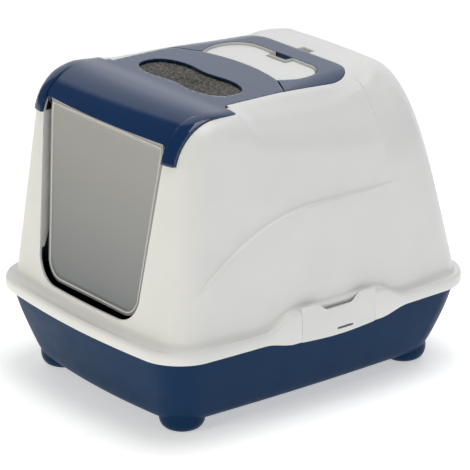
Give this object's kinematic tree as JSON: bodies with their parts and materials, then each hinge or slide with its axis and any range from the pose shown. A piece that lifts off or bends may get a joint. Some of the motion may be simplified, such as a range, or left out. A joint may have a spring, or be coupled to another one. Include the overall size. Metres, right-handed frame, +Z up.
{
  "type": "cat litter box with hood",
  "caption": "Covered cat litter tray with a lift-off hood, flip-up top lid, hanging swing door, fold-away carry handle, side clips and a carbon filter.",
  "frame": {"origin": "centre of the footprint, on the floor", "axes": "+Z up, the door faces -Y, the width runs along X and the length along Y"},
  "size_m": [0.392, 0.5, 0.3899],
  "materials": {
    "hood_plastic": "white satin moulded plastic",
    "lid_plastic": "polished navy moulded plastic",
    "tray_plastic": "navy moulded plastic, satin",
    "door_plastic": "translucent smoke plastic",
    "carbon_foam": "open-cell foam filled with carbon"
  },
  "bodies": {
    "tray": {"tray": "tray_plastic"},
    "hood": {"hood": "hood_plastic"},
    "lid": {"flip_lid": "lid_plastic"},
    "door": {"swing_door": "door_plastic"},
    "handle": {"handle": "lid_plastic"},
    "left_clip": {"clip_left": "hood_plastic"},
    "right_clip": {"clip_right": "hood_plastic"},
    "filter_cartridge": {"filter_holder": "lid_plastic", "carbon_filter": "carbon_foam"}
  },
  "joints": [
    {"name": "hood_lift", "type": "slide", "parent": "tray", "child": "hood", "axis": [0, 0, 1], "range_m": [0, 0.15]},
    {"name": "lid_flip", "type": "hinge", "parent": "hood", "child": "lid", "pos_m": [0, -0.0165, 0.3825], "axis": [-1, 0, 0], "range_deg": [0, 80]},
    {"name": "door_swing", "type": "hinge", "parent": "lid", "child": "door", "pos_m": [0, -0.1892, 0.357], "axis": [1, 0, 0], "range_deg": [-55, 70]},
    {"name": "handle_swing", "type": "hinge", "parent": "hood", "child": "handle", "pos_m": [0, 0.0136, 0.3815], "axis": [1, 0, 0], "range_deg": [0, 80]},
    {"name": "left_clip_swing", "type": "hinge", "parent": "hood", "child": "left_clip", "pos_m": [-0.1932, 0.009, 0.1415], "axis": [0, 1, 0], "range_deg": [0, 60]},
    {"name": "right_clip_swing", "type": "hinge", "parent": "hood", "child": "right_clip", "pos_m": [0.1932, 0.009, 0.1415], "axis": [0, -1, 0], "range_deg": [0, 60]},
    {"name": "cartridge_drop", "type": "slide", "parent": "lid", "child": "filter_cartridge", "axis": [0, 0, -1], "range_m": [0, 0.012]}
  ]
}
